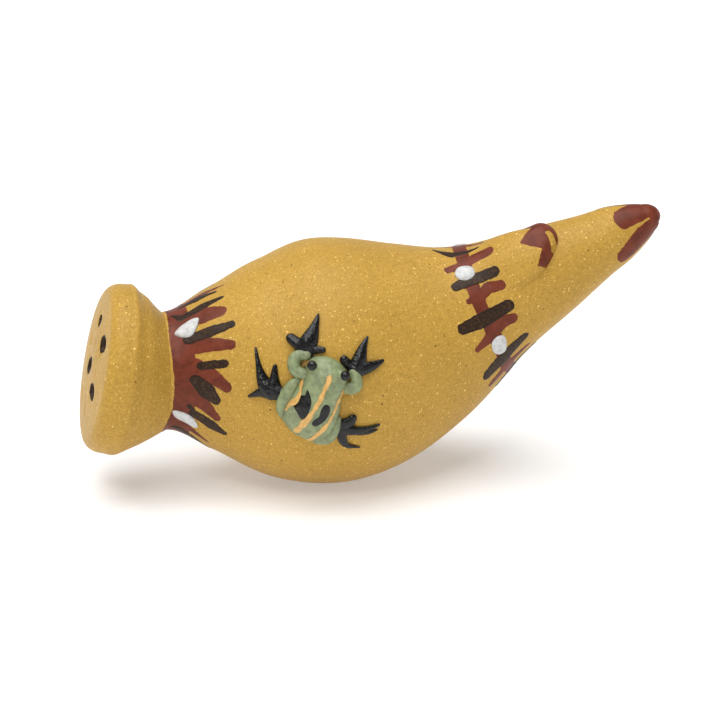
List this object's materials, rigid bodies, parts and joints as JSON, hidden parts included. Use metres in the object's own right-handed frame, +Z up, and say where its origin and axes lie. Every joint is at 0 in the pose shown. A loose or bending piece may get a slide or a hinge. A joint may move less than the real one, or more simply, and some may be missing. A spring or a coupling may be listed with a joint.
{
  "type": "clay ocarina",
  "caption": "Hand-built clay vessel flute: round chamber, flared foot with finger holes, bent beak mouthpiece, painted bands and a clay frog on its side.",
  "frame": {"origin": "middle of the small flat under the belly, on the surface that it rests on", "axes": "+Z up, +X from the foot towards the beak, -Y the side that carries the frog"},
  "size_m": [0.1526, 0.0706, 0.0745],
  "materials": {
    "clay": "burnished ochre clay with fine gold mica flecks, satin",
    "white_slip": "thick white slip, satin",
    "frog_green": "sage green modelling clay, satin",
    "frog_black": "black modelling clay, glossy varnish",
    "frog_yellow": "yellow modelling clay, satin"
  },
  "bodies": {
    "root": {"foot_face": "clay", "foot_bell": "clay", "tail_bowl": "clay", "beak_bowl": "clay", "beak": "clay", "windway_strip": "clay", "lobe": "clay", "neck_dots": "white_slip", "shoulder_dots": "white_slip", "frog_body": "frog_green", "frog_left_arm": "frog_green", "frog_right_arm": "frog_green", "frog_left_thigh": "frog_green", "frog_right_thigh": "frog_green", "frog_left_forefoot": "frog_black", "frog_right_forefoot": "frog_black", "frog_left_hindfoot": "frog_black", "frog_right_hindfoot": "frog_black", "frog_left_eye": "frog_black", "frog_right_eye": "frog_black", "frog_left_stripe": "frog_yellow", "frog_middle_stripe": "frog_yellow", "frog_right_stripe": "frog_yellow", "frog_left_spot": "frog_black", "frog_right_spot": "frog_black"}
  },
  "joints": []
}
